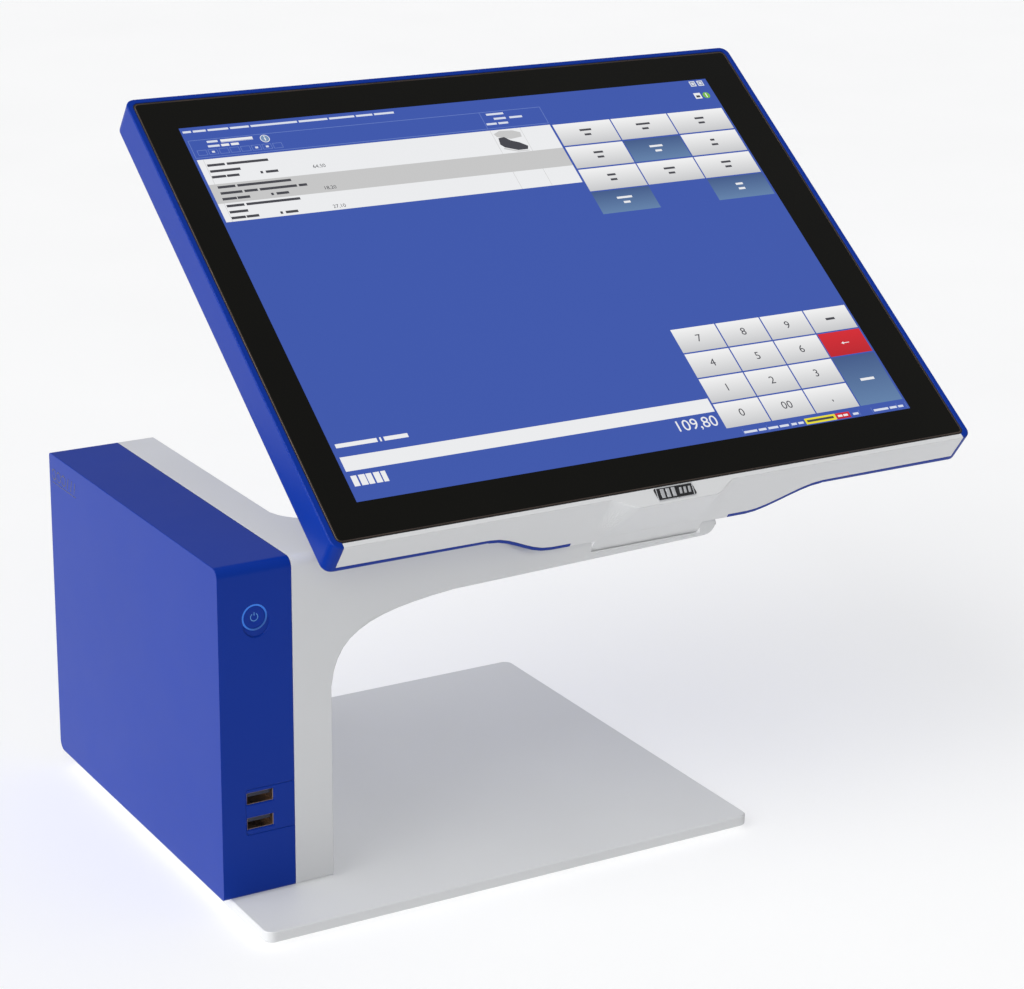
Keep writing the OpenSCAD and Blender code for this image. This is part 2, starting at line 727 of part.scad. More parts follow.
function head_outline(g) = round_rect([-head_w / 2 + g, head_y0 + g], [head_w / 2 - g, head_y1 - g],
  same_radii(max(5 - g, 0.8)), 6);

function ring_z(outline, z) = [for (p = outline) [p.x, p.y, z]];

// Slab of the housing with a rounded rear edge, up to z1
module head_slab(g, z1, front_round) {
  r = back_round - 0.5 * g;
  rear = [for (i = [4:-1:0]) let (a = 22.5 * i)
    ring_z(head_outline(g + r * (1 - cos(a))), back_z + g + r * (1 - sin(a)))];
  front = [ring_z(head_outline(g), z1 - 0.45), ring_z(head_outline(g + front_round), z1)];
  loft(concat(rear, front));
}

// Rear bulge over the electronics and the hinge, from the bottom edge upward
module head_bulge(g) {
  intersection() {
    translate([0, bulge_top, 0]) rotate([90, 0, 0]) linear_extrude(bulge_top - head_y0 - g)
      polygon(concat([for (x = bulge_xs) [x - sign(x) * g, bulge_depth(x) + g]],
        [[bulge_end - g, back_z + 4], [-bulge_end + g, back_z + 4]]));
    rotate([90, 0, 90]) translate([0, 0, -bulge_end]) linear_extrude(2 * bulge_end)
      polygon(concat([[head_y0, back_z + 4], [head_y0, bulge_z + g]],
        [for (i = [0:bulge_steps]) let (t = i / bulge_steps)
          [bulge_top - g - bulge_fade * (1 - t), mix(bulge_z, back_z + 1.2, smooth(t)) + g]],
        [[bulge_top - g, back_z + 4]]));
  }
}

// Outline of the white bottom cover in (X, Z), shrunk by g
function cover_outline(g) = concat(
  [[-cover_half + g, face_z], [-cover_half + g, cover_back + g]],
  [for (x = bulge_xs) [x, min(cover_back, bulge_depth(x) + 2.2) + g]],
  [[cover_half - g, cover_back + g], [cover_half - g, face_z]]);

block_half = 43.8;

module cover_plan(g, y0, y1) {
  translate([0, y1, 0]) rotate([90, 0, 0]) linear_extrude(y1 - y0) union() {
    polygon(cover_outline(g));
    translate([-block_half + g, bulge_z - 1]) square([2 * (block_half - g), 8]);
  }
}

// Outline of the cover glass, grown by gap, with n steps a corner
module glass_plan(gap, n) {
  polygon(round_rect([-glass_w / 2 - gap, glass_y0 - gap], [glass_w / 2 + gap, glass_y1 + gap],
    same_radii(2.6 + gap), n));
}

module head_shell() {
  ledge_z = face_z - glass_t;
  color(blue) in_head() difference() {
    union() {
      head_slab(0, face_z + 0.15, 0.4);
      head_bulge(0);
    }
    difference() {
      union() {
        head_slab(shell_t, ledge_z, 0);
        head_bulge(shell_t);
      }
      for (p = head_screw_places)
        translate([p.x, p.y, back_z]) cylinder(h = chassis_z - 0.1 - back_z, r = 3.2);
    }
    cover_plan(0, head_y0 - 1, glass_y0 - 0.7);
    box([-cover_half - 0.05, head_y0 - 1, ledge_z - 0.03], [cover_half + 0.05, glass_y0 + 1, face_z + 1]);
    translate([0, 0, ledge_z - 0.02]) linear_extrude(10) glass_plan(0.5, 6);
    box([-barrel_w / 2 - 0.2, head_y0 - 1, bulge_z - 1], [barrel_w / 2 + 0.2, 4.4, bulge_z + 5]);
    for (p = head_screw_places) translate([p.x, p.y, back_z - 1]) cylinder(h = 8, r = 1.45);
    for (i = [0:9], x = [-48, 12]) box([x, 90 + 4.5 * i, bulge_z - 1], [x + 36, 91.8 + 4.5 * i, bulge_z + 4]);
  }
}

chin_half = 35;
chin_flat = 20;
chin_drop = 6.8;
function chin(x) = chin_drop * smooth((chin_half - abs(x)) / (chin_half - chin_flat));

// Wedge under the front strip, deepest in the middle
module chin_wedge() {
  rise = [for (i = [0:14]) chin_flat + (chin_half - chin_flat) * i / 14];
  xs = concat([for (i = [14:-1:0]) -rise[i]], rise);
  loft([for (x = xs) [
    [x, head_y0 + 1, face_z + 0.1], [x, head_y0 - chin(x) + 0.25, face_z + 0.1],
    [x, head_y0 - chin(x), face_z - 0.15], [x, head_y0 - 0.02, 9], [x, head_y0 + 1, 9]]]);
}

module bottom_cover() {
  g = 0.15;
  color(white) in_head() difference() {
    union() {
      cover_plan(g, head_y0, head_y0 + shell_t);
      box([-cover_half + g, head_y0, face_z - 2.4], [cover_half - g, glass_y0 - 0.7, face_z + 0.1]);
      chin_wedge();
      rod_x(-barrel_w / 2, barrel_w / 2, 0, 0, barrel_r);
      box([-barrel_w / 2, -barrel_r, 0], [barrel_w / 2, -barrel_r + shell_t, bulge_z + 1]);
    }
    rod_x(-barrel_w, barrel_w, 0, 0, 5);
    box([-barrel_w, -barrel_r + shell_t, 0], [barrel_w, 4.2, 12]);
    box([-block_half - 1, head_y0 - 1, bulge_z - 2], [-barrel_w / 2, head_y0 + 4, bulge_z + 0.05]);
    box([barrel_w / 2, head_y0 - 1, bulge_z - 2], [block_half + 1, head_y0 + 4, bulge_z + 0.05]);
  }
}

module cover_glass() {
  color(dark) in_head() translate([0, 0, face_z - glass_t]) linear_extrude(glass_t) glass_plan(0, 8);
}

module glass_gasket() {
  color(dark) in_head() difference() {
    translate([0, 0, face_z - glass_t]) linear_extrude(glass_t - 0.15) glass_plan(0.45, 8);
    translate([0, 0, face_z - glass_t - 1]) linear_extrude(glass_t + 2) glass_plan(0.05, 8);
  }
}

lcd_w = 326.5;
lcd_h = 253.5;
lcd_y0 = glass_y0 + 6.4;
lcd_t = 9.4;
lcd_z = face_z - glass_t - 0.2 - lcd_t;

module lcd_panel() {
  color(steel) in_head() difference() {
    translate([-lcd_w / 2, lcd_y0, lcd_z]) cube([lcd_w, lcd_h, lcd_t]);
    translate([-154, lcd_y0 + 11, lcd_z + lcd_t - 0.6]) cube([308, 232, 2]);
  }
}

chassis_z = lcd_z - 1.3;

module display_chassis() {
  color(steel) in_head() difference() {
    translate([-160, lcd_y0 + 2, chassis_z]) cube([320, lcd_h - 4, 1.2]);
    for (x = [-120, 70], y = [40, 150]) translate([x, y, chassis_z - 1]) cube([50, 60, 4]);
    for (p = concat(bracket_screw_places, head_screw_places))
      translate([p.x, p.y, chassis_z - 1]) cylinder(h = 4, r = 1.6);
  }
}

module driver_board() {
  color(board) in_head() {
    translate([-50, 60, 12]) cube([100, 80, 1.6]);
    for (x = [-46, 46], y = [64, 136]) translate([x, y, 13.6]) cylinder(h = chassis_z - 13.6, r = 2.4);
    translate([-20, 84, 13.6]) cube([22, 22, 1.8]);
    for (i = [0:4]) translate([14, 70 + 9 * i, 13.6]) cylinder(h = 7, r = 3);
    translate([-44, 70, 13.6]) cube([6, 40, 5]);
  }
}

module touch_board() {
  color(board) in_head() {
    translate([56, 70, chassis_z - 1.6]) cube([8, 46, 1.6]);
    translate([57.5, 80, chassis_z - 3]) cube([5, 20, 1.4]);
  }
}

leaf_spans = [[-27, -11], [11, 27]];
eye_r = 4.6;
sleeve_r = 3.6;
bracket_screw_places = [for (s = leaf_spans, y = [18, 36]) [(s[0] + s[1]) / 2, y]];

// Steel bracket: an eye round the friction sleeve, a leaf into the head and a foot on the chassis
module hinge_bracket(span) {
  w = span[1] - span[0];
  color(steel) in_head() difference() {
    union() {
      rod_x(span[0], span[1], 0, 0, eye_r);
      translate([span[0], -1.2, 0]) cube([w, 2.4, chassis_z - 0.05]);
      translate([span[0], -1.2, chassis_z - 2.45]) cube([w, 46, 2.4]);
    }
    rod_x(span[0] - 1, span[1] + 1, 0, 0, sleeve_r + 0.02);
    for (y = [18, 36]) translate([(span[0] + span[1]) / 2, y, 10]) cylinder(h = 20, r = 1.55);
  }
}

module friction_sleeve(span) {
  color(gold) in_head() difference() {
    rod_x(span[0] - 0.6, span[1] + 0.6, 0, 0, sleeve_r);
    rod_x(span[0] - 2, span[1] + 2, 0, 0, shaft_r + 0.04);
  }
}

module hinge_bracket_left() { hinge_bracket(leaf_spans[0]); }
module hinge_bracket_right() { hinge_bracket(leaf_spans[1]); }
module friction_sleeve_left() { friction_sleeve(leaf_spans[0]); }
module friction_sleeve_right() { friction_sleeve(leaf_spans[1]); }

module bracket_screws() {
  color(steel) in_head() for (p = bracket_screw_places)
    translate([p.x, p.y, chassis_z + 1.1]) mirror([0, 0, 1]) screw(1.5, 3.55, 2.7, 1.6);
}

head_screw_places = [for (x = [-150, 150], y = [20, 240]) [x, y]];

module head_screws() {
  length = chassis_z + 1.15 - back_z;
  color(steel) in_head() for (p = head_screw_places)
    translate([p.x, p.y, back_z + length]) mirror([0, 0, 1]) screw(1.3, length, 2.5, 0.8);
}

module speaker() {
  color(dark) in_head() difference() {
    translate([-46, 24, bulge_z + shell_t + 0.3]) cube([14, 30, 6]);
    translate([-39, 39, bulge_z + shell_t - 1]) cylinder(h = 3, r = 5.5);
  }
}

module head_cable() {
  color(dark) in_head() cable([[-3, 0, 4], [-3, 0, 11], [0, 40, 17], [-41, 72, 20]], cable_r);
}

module badge() {
  color(dark) in_head() translate([0, head_y0 + 0.2, face_z + 0.1]) linear_extrude(0.35)
    polygon(round_rect([-10.5, -4.9], [10.5, 1.6], same_radii(1), 6));
}

base_plate();
rubber_feet();
base_screws();
foot_plate();
stand_shell();
column_side_plate();
side_plate_screws();
column_rear_cover();
arm_rear_cover();
arm_cover_screws();
hinge_anchor_left();
hinge_anchor_right();
anchor_screws();
hinge_shaft();
shaft_rings();
dock_socket();
arm_cable();
module_shell();
module_chassis();
module_screws();
mainboard();
heatsink();
memory_module();
solid_state_drive();
coin_battery();
dock_plug();
usb_panel();
usb_board();
usb_shell_upper();
usb_shell_lower();
usb_tongue_upper();
usb_tongue_lower();
button_board();
tact_switch();
light_ring();
power_button();
io_panel();
power_inlet();
network_port();
rear_usb_port();
serial_port();
drawer_port();
head_shell();
bottom_cover();
cover_glass();
glass_gasket();
lcd_panel();
display_chassis();
driver_board();
touch_board();
hinge_bracket_left();
hinge_bracket_right();
friction_sleeve_left();
friction_sleeve_right();
bracket_screws();
head_screws();
speaker();
head_cable();
badge();
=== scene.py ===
import json
import math

import bmesh
import bpy
from mathutils import Matrix, Vector


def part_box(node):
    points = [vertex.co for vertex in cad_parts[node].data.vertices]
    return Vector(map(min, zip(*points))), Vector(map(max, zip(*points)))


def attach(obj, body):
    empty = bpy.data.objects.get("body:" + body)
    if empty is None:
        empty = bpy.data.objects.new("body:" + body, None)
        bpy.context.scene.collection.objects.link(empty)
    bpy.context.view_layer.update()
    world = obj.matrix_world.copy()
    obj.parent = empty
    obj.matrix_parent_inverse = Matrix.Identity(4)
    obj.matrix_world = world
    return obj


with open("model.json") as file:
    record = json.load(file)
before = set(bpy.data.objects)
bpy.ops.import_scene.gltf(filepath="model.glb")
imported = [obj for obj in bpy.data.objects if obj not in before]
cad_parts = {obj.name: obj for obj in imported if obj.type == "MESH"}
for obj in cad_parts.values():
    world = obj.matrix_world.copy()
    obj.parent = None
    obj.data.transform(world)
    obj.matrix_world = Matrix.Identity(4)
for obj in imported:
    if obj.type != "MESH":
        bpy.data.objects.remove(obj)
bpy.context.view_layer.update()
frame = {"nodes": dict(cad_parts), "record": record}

# ---------------------------------------------------------------- places
MM = 0.001
CORNER = Vector(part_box("module_shell")[0])      # front left bottom corner of the module
HINGE = Vector(next(j for j in frame["record"]["behaviour"]["joints"] if j["name"] == "head_tilt")["pos_m"])
HINGE.x = (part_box("cover_glass")[0][0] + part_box("cover_glass")[1][0]) / 2    # middle of the display
TILT = math.radians(36.3)
HEAD = Matrix.Translation(HINGE) @ Matrix.Rotation(TILT, 4, "X")
FACE_Z = 39.0                                   # glass face above the hinge axis, mm
GLASS_Y0, GLASS_H = -3.4, 265.9                 # lower edge and height of the glass, mm


def stand(x, y, z):
    """mm from the module's corner."""
    return CORNER + Vector((x, y, z)) * MM


def head(x, y, z):
    """mm in the display's own frame: X across, Y up the glass, Z out of it."""
    return HEAD @ (Vector((x, y, z)) * MM)


def srgb(r, g, b):
    def lin(c):
        c /= 255
        return c / 12.92 if c <= 0.04045 else ((c + 0.055) / 1.055) ** 2.4
    return (lin(r), lin(g), lin(b), 1.0)


# ---------------------------------------------------------------- materials
class Nodes:
    """A material's node tree with short ways to add and link."""

    def __init__(self, name):
        self.mat = bpy.data.materials.new(name)
        self.mat.use_nodes = True
        self.tree = self.mat.node_tree
        self.tree.nodes.clear()
        self.out = self.add("ShaderNodeOutputMaterial")
        self.bsdf = self.add("ShaderNodeBsdfPrincipled")
        self.link(self.bsdf.outputs[0], self.out.inputs[0])
        self.coord = self.add("ShaderNodeTexCoord")

    def add(self, kind, **values):
        n = self.tree.nodes.new(kind)
        for k, v in values.items():
            setattr(n, k, v)
        return n

    def link(self, a, b):
        self.tree.links.new(a, b)

    def set(self, **values):
        for k, v in values.items():
            self.bsdf.inputs[k.replace("_", " ")].default_value = v

    def noise(self, scale, detail=3.0, rough=0.55, stretch=None):
        n = self.add("ShaderNodeTexNoise")
        n.inputs["Scale"].default_value = scale
        n.inputs["Detail"].default_value = detail
        n.inputs["Roughness"].default_value = rough
        if stretch:
            m = self.add("ShaderNodeMapping")
            m.inputs["Scale"].default_value = stretch
            self.link(self.coord.outputs["Object"], m.inputs["Vector"])
            self.link(m.outputs[0], n.inputs["Vector"])
        else:
            self.link(self.coord.outputs["Object"], n.inputs["Vector"])
        return n.outputs["Fac"]

    def ramp(self, fac, stops):
        r = self.add("ShaderNodeValToRGB")
        while len(r.color_ramp.elements) < len(stops):
            r.color_ramp.elements.new(0.5)
        for e, (pos, col) in zip(r.color_ramp.elements, stops):
            e.position = pos
            e.color = col
        self.link(fac, r.inputs[0])
        return r.outputs[0]

    def spread(self, fac, lo, hi, a=0.3, b=0.7):
        m = self.add("ShaderNodeMapRange")
        m.inputs["From Min"].default_value = a
        m.inputs["From Max"].default_value = b
        m.inputs["To Min"].default_value = lo
        m.inputs["To Max"].default_value = hi
        self.link(fac, m.inputs["Value"])
        return m.outputs[0]

    def color(self, fac, rgb, vary):
        lo = tuple(c * (1 - vary) for c in rgb[:3]) + (1,)
        hi = tuple(min(1, c * (1 + vary)) for c in rgb[:3]) + (1,)
        self.link(self.ramp(fac, [(0.3, lo), (0.7, hi)]), self.bsdf.inputs["Base Color"])

    def bump(self, fac, distance, strength=0.5, before=None):
        b = self.add("ShaderNodeBump")
        b.inputs["Distance"].default_value = distance
        b.inputs["Strength"].default_value = strength
        self.link(fac, b.inputs["Height"])
        if before is not None:
            self.link(before, b.inputs["Normal"])
        self.link(b.outputs[0], self.bsdf.inputs["Normal"])
        return b.outputs[0]


def finish_mat(name, rgb, rough, vary=0.05, grain=2600, depth=0.00002, swing=0.05, broad=9, stretch=None,
               edge=0.0003, **sockets):
    """Moulded, painted or plated surface: tone and roughness drift, a fine grain in relief and eased edges."""
    n = Nodes(name)
    n.set(**sockets)
    n.color(n.noise(broad, 4), rgb, vary)
    n.link(n.spread(n.noise(broad * 4, 5), rough - swing, rough + swing), n.bsdf.inputs["Roughness"])
    soft = n.add("ShaderNodeBevel", samples=4)
    soft.inputs["Radius"].default_value = edge
    n.bump(n.noise(grain, 2, 0.6, stretch), depth, 0.5, soft.outputs[0])
    return n.mat


def board_mat(name):
    """Solder mask with copper tracks showing through as raised darker and lighter green."""
    n = Nodes(name)
    n.set(Specular_IOR_Level=0.5)
    v = n.add("ShaderNodeTexVoronoi", feature="DISTANCE_TO_EDGE")
    v.inputs["Scale"].default_value = 260
    n.link(n.coord.outputs["Object"], v.inputs["Vector"])
    col = n.ramp(v.outputs["Distance"], [(0.0, (0.03, 0.22, 0.09, 1)), (0.08, (0.008, 0.09, 0.035, 1))])
    n.link(col, n.bsdf.inputs["Base Color"])
    n.link(n.spread(n.noise(80), 0.28, 0.45), n.bsdf.inputs["Roughness"])
    n.bump(v.outputs["Distance"], 0.00006, 0.4)
    return n.mat


def light_mat(name, rgb, strength):
    """Light guide: brighter at the lower left, where its lamp sits."""
    n = Nodes(name)
    g = n.add("ShaderNodeTexGradient", gradient_type="LINEAR")
    m = n.add("ShaderNodeMapping")
    c = (Vector(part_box("light_ring")[0]) + Vector(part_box("light_ring")[1])) / 2
    m.inputs["Rotation"].default_value = (0, math.radians(-55), 0)
    m.inputs["Scale"].default_value = (75, 75, 75)
    shift = n.add("ShaderNodeVectorMath", operation="SUBTRACT")
    shift.inputs[1].default_value = c
    n.link(n.coord.outputs["Object"], shift.inputs[0])
    n.link(shift.outputs[0], m.inputs["Vector"])
    n.link(m.outputs[0], g.inputs["Vector"])
    lo = tuple(v * 0.06 for v in rgb[:3]) + (1,)
    n.link(n.ramp(n.spread(g.outputs[1], 1, 0, -0.5, 0.5), [(0.1, lo), (0.85, rgb)]), n.bsdf.inputs["Emission Color"])
    n.set(Emission_Strength=strength)
    n.color(n.noise(400), tuple(v * 0.4 for v in rgb[:3]), 0.1)
    n.link(n.spread(n.noise(900), 0.3, 0.45), n.bsdf.inputs["Roughness"])
    return n.mat


def screen_mat(name, top, bottom, strength=0.92):
    """Lit picture element under glass: vertical gradient from the UV map and a fine pixel grid."""
    n = Nodes(name)
    sep = n.add("ShaderNodeSeparateXYZ")
    n.link(n.coord.outputs["UV"], sep.inputs[0])
    col = n.ramp(sep.outputs["Y"], [(0.0, bottom), (1.0, top)])
    rows = n.add("ShaderNodeTexWave", wave_type="BANDS", bands_direction="X")
    rows.inputs["Scale"].default_value = 1050
    n.link(n.coord.outputs["Object"], rows.inputs["Vector"])
    mix = n.add("ShaderNodeMix", data_type="RGBA", blend_type="MULTIPLY")
    mix.inputs[0].default_value = 0.06
    n.link(col, mix.inputs[6])
    n.link(rows.outputs["Color"], mix.inputs[7])
    n.link(mix.outputs[2], n.bsdf.inputs["Emission Color"])
    n.set(Base_Color=(0.004, 0.004, 0.005, 1), Emission_Strength=strength, Coat_Weight=0.3, Coat_Roughness=0.04)
    n.link(n.spread(n.noise(60), 0.1, 0.16), n.bsdf.inputs["Roughness"])
    return n.mat


def flat(rgb):
    return screen_mat("picture_%d_%d_%d" % rgb, srgb(*rgb), srgb(*rgb))


blue = finish_mat("blue_moulding", (0.002, 0.03, 0.29), 0.3, 0.03, 900, 0.0000015, 0.02, edge=0.0008,
                  Specular_IOR_Level=0.12)
white_paint = finish_mat("white_powder_coat", (0.665, 0.672, 0.68), 0.45, 0.02, 1900, 0.00002, 0.05,
                         Specular_IOR_Level=0.35)
white_plastic = finish_mat("white_moulding", (0.69, 0.695, 0.7), 0.42, 0.015, 2600, 0.000015, 0.05,
                           Specular_IOR_Level=0.4)
glass = finish_mat("black_cover_glass", (0.0035, 0.0033, 0.0022), 0.1, 0.2, 30, 0.000001, 0.02,
                   Specular_IOR_Level=0.16)
rubber = finish_mat("rubber", (0.02, 0.02, 0.021), 0.75, 0.2, 1600, 0.00006, 0.1)
steel = finish_mat("plated_steel", (0.52, 0.52, 0.53), 0.34, 0.08, 900, 0.00001, 0.08, 30, (1, 14, 1), Metallic=1.0)
usb_steel = finish_mat("socket_steel", (0.5, 0.36, 0.26), 0.3, 0.1, 1500, 0.00001, 0.07, 60, Metallic=1.0)
black_plastic = finish_mat("black_moulding", (0.018, 0.018, 0.019), 0.5, 0.2, 1800, 0.00004, 0.08)
aluminium = finish_mat("aluminium", (0.7, 0.71, 0.72), 0.36, 0.06, 1100, 0.00001, 0.06, 40, (12, 1, 1), Metallic=1.0)
panel_frame = finish_mat("panel_frame", (0.11, 0.11, 0.12), 0.42, 0.15, 1200, 0.00002, 0.06, Metallic=0.7)
brass = finish_mat("ground_brass", (0.62, 0.42, 0.15), 0.3, 0.08, 1400, 0.00001, 0.06, 60, (1, 9, 1), Metallic=1.0)
badge_plate = finish_mat("badge_plate", (0.012, 0.012, 0.014), 0.3, 0.1, 1500, 0.000005, 0.05, 80)
silver = finish_mat("silver_print", (0.62, 0.63, 0.65), 0.3, 0.06, 1800, 0.000005, 0.05, 90, Metallic=0.5)
# socket tongue: its own dark blue, darkened nearly to black as painted shade inside the socket's cavity
usb_blue = finish_mat("socket_tongue_painted_shade", (0.004, 0.007, 0.03), 0.4, 0.1, 2000, 0.00002, 0.06)
mark_blue = finish_mat("mark_blue", (0.002, 0.012, 0.11), 0.26, 0.15, 2200, 0.00001, 0.04, 60)
edge_bronze = finish_mat("glass_edge", (0.075, 0.055, 0.045), 0.3, 0.25, 1500, 0.00001, 0.05, 40, Metallic=0.6)
circuit = board_mat("circuit_board")
ring_light = light_mat("ring_light", (0.02, 0.2, 0.85, 1), 0.75)
icon_light = light_mat("icon_light", (0.12, 0.4, 0.9, 1), 0.6)

BY_SLOT = {"white_paint": white_paint, "white_plastic": white_plastic, "blue_plastic": blue, "black_glass": glass,
           "rubber": rubber, "steel": steel, "black_plastic": black_plastic, "circuit_board": circuit,
           "aluminium": aluminium, "panel_body": panel_frame, "brass": brass, "badge_plate": badge_plate,
           "light_ring": ring_light, "usb_blue": usb_blue}
BY_NODE = {n: usb_steel for n in ("usb_shell_upper", "usb_shell_lower")}
SLOT_OF = {s["node"]: s["material_slot"] for s in frame["record"]["subparts"]}

for name, obj in frame["nodes"].items():
    m = BY_NODE.get(name, BY_SLOT[SLOT_OF[name]])
    if not obj.material_slots:
        obj.data.materials.append(m)
    for s in obj.material_slots:
        s.material = m

# ---------------------------------------------------------------- mesh helpers


def piece(name, bm, mats, body, smooth=False):
    me = bpy.data.meshes.new(name)
    bm.normal_update()
    bm.to_mesh(me)
    bm.free()
    for m in mats:
        me.materials.append(m)
    if smooth:
        for p in me.polygons:
            p.use_smooth = True
    obj = bpy.data.objects.new(name, me)
    bpy.context.scene.collection.objects.link(obj)
    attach(obj, body)
    return obj


def slab(bm, outline, put, z0, z1, mat=0, round_top=0.0):
    """Closed raised shape: outline in 2-D mm, put(x, y, z) gives the world place, and the top edge is eased."""
    cx = sum(p[0] for p in outline) / len(outline)
    cy = sum(p[1] for p in outline) / len(outline)

    def ring(z, inset):
        pts = []
        for x, y in outline:
            d = math.hypot(x - cx, y - cy) or 1
            pts.append(bm.verts.new(put(x - (x - cx) / d * inset, y - (y - cy) / d * inset, z)))
        return pts

    rings = [ring(z0, 0), ring(z1 - round_top, 0), ring(z1, round_top)] if round_top else [ring(z0, 0), ring(z1, 0)]
    faces = [bm.faces.new(rings[-1]), bm.faces.new(list(reversed(rings[0])))]
    n = len(outline)
    for a, b in zip(rings, rings[1:]):
        faces += [bm.faces.new((a[i], a[(i + 1) % n], b[(i + 1) % n], b[i])) for i in range(n)]
    for f in faces:
        f.material_index = mat


def stroke(points, width):
    """Outline of a line of that width through 2-D points."""
    left, right = [], []
    for i, p in enumerate(points):
        a = points[max(i - 1, 0)]
        b = points[min(i + 1, len(points) - 1)]
        d = Vector((b[0] - a[0], b[1] - a[1])).normalized() * width / 2
        left.append((p[0] - d.y, p[1] + d.x))
        right.append((p[0] + d.y, p[1] - d.x))
    return right + left[::-1]


def strip(bm, points, width, put, z0, z1):
    """Raised line of constant width along 2-D points, built of closed quads."""
    o = stroke(points, width)
    n = len(points)
    lo = [bm.verts.new(put(x, y, z0)) for x, y in o]
    hi = [bm.verts.new(put(x, y, z1)) for x, y in o]
    for i in range(n - 1):
        a, b, c, d = i, i + 1, 2 * n - 2 - i, 2 * n - 1 - i
        bm.faces.new((hi[a], hi[b], hi[c], hi[d]))
        bm.faces.new((lo[d], lo[c], lo[b], lo[a]))
    m = 2 * n
    for i in range(m):
        bm.faces.new((lo[i], lo[(i + 1) % m], hi[(i + 1) % m], hi[i]))


def arc_points(cx, cy, r, a0, a1, n):
    return [(cx + r * math.cos(math.radians(a0 + (a1 - a0) * i / n)),
             cy + r * math.sin(math.radians(a0 + (a1 - a0) * i / n))) for i in range(n + 1)]


# ---------------------------------------------------------------- the screen's picture
UNIT = 304.1 / 140                              # the picture is laid out on a grid 140 units wide
LEFT, TOP = -154.1, 244.2                       # its top left corner on the glass, mm
BLUE, WHITE, GREY, LINE, TEXT, RED, YELLOW, SOFT, GREEN, DARKBLUE, STEEL, KEY, TILE = range(13)
PICTURE = [
    screen_mat("picture_ground", srgb(50, 83, 178), srgb(54, 85, 178)),
    flat((246, 247, 249)), flat((206, 206, 206)), flat((110, 135, 205)), flat((62, 62, 70)),
    screen_mat("picture_red", srgb(222, 20, 35), srgb(196, 0, 24)), flat((244, 232, 40)), flat((226, 232, 246)),
    flat((120, 190, 60)), flat((40, 60, 120)),
    screen_mat("picture_steel_key", srgb(58, 88, 140), srgb(98, 132, 176)),
    screen_mat("picture_key", srgb(253, 253, 253), srgb(208, 209, 211)), flat((120, 150, 190)),
]

pic = bmesh.new()
uv = pic.loops.layers.uv.new("UVMap")


def on_screen(u, v, lift):
    return head(LEFT + u * UNIT, TOP - v * UNIT, FACE_Z + lift)


def poly(points, mat, level):
    f = pic.faces.new([pic.verts.new(on_screen(u, v, 0.03 + 0.012 * level)) for u, v in points])
    f.material_index = mat
    us = [p[0] for p in points]
    vs = [p[1] for p in points]
    for loop, (u, v) in zip(f.loops, points):
        loop[uv].uv = ((u - min(us)) / (max(us) - min(us)), 1 - (v - min(vs)) / (max(vs) - min(vs)))


def rect(u0, v0, u1, v1, mat, level=1):
    poly([(u0, v1), (u1, v1), (u1, v0), (u0, v0)], mat, level)


def outline(u0, v0, u1, v1, mat, level=1, w=0.13):
    rect(u0, v0, u1, v0 + w, mat, level)
    rect(u0, v1 - w, u1, v1, mat, level)
    rect(u0, v0 + w, u0 + w, v1 - w, mat, level)
    rect(u1 - w, v0 + w, u1, v1 - w, mat, level)


def disc(u, v, r, mat, level=2, n=28):
    poly([(u + r * math.cos(2 * math.pi * i / n), v - r * math.sin(2 * math.pi * i / n)) for i in range(n)],
         mat, level)


def words(u, v, widths, mat, height=0.62, gap=0.45, level=2):
    """A line of text as plain bars, one for each word."""
    for w in widths:
        rect(u, v - height / 2, u + w, v + height / 2, mat, level)
        u += w + gap


def digits(body, u, v, size, mat, align="CENTER", level=3):
    """Numbers in the built-in plain face, laid on the picture; size is the height of a digit in units."""
    curve = bpy.data.curves.new("digits", "FONT")
    curve.body = body
    curve.align_x = align
    curve.align_y = "CENTER"
    curve.size = size * 1.42
    curve.resolution_u = 5
    obj = bpy.data.objects.new("digits", curve)
    bpy.context.scene.collection.objects.link(obj)
    me = bpy.data.meshes.new_from_object(obj)
    bpy.data.objects.remove(obj)
    verts = [pic.verts.new(on_screen(u + p.co.x, v - p.co.y, 0.03 + 0.012 * level)) for p in me.vertices]
    for p in me.polygons:
        f = pic.faces.new([verts[i] for i in p.vertices])
        f.material_index = mat
        for loop in f.loops:
            loop[uv].uv = (0.5, 0.5)
    bpy.data.meshes.remove(me)


rect(0, 0, 140, 105.2, BLUE, 0)
words(0.5, 1.3, [2, 3.1, 5, 4.6, 11.5, 7.2, 6.4, 4.2, 5.1], SOFT, 0.6)
outline(0.7, 3.9, 90.9, 9.3, LINE)
words(5.0, 4.75, [2.6], SOFT)
words(8.3, 4.75, [7.8], WHITE, 0.7)
rect(8.3, 5.2, 16.1, 5.3, WHITE, 2)
words(4.8, 6.1, [2.8], SOFT)
words(8.0, 6.1, [1.9, 1.9], WHITE, 0.7)
disc(18.9, 5.4, 1.15, WHITE)
disc(18.9, 5.4, 0.98, TILE, 3)
rect(18.75, 5.1, 19.05, 6.0, WHITE, 4)
rect(18.75, 4.6, 19.05, 4.9, WHITE, 4)
for i in range(8):
    outline(1.7 + 2.62 * i, 7.0, 3.95 + 2.62 * i, 8.6, LINE, 2, 0.12)
for i in (1, 5, 6):
    words(2.5 + 2.62 * i, 7.8, [0.7], SOFT, 0.55)
words(76.0, 4.8, [4.6], SOFT)
words(77.4, 6.3, [3.2], SOFT)
words(81.6, 6.3, [3.4], SOFT)
words(74.8, 7.8, [2.7, 2.6], SOFT)
outline(74.4, 3.9, 90.9, 9.3, LINE, 2, 0.12)

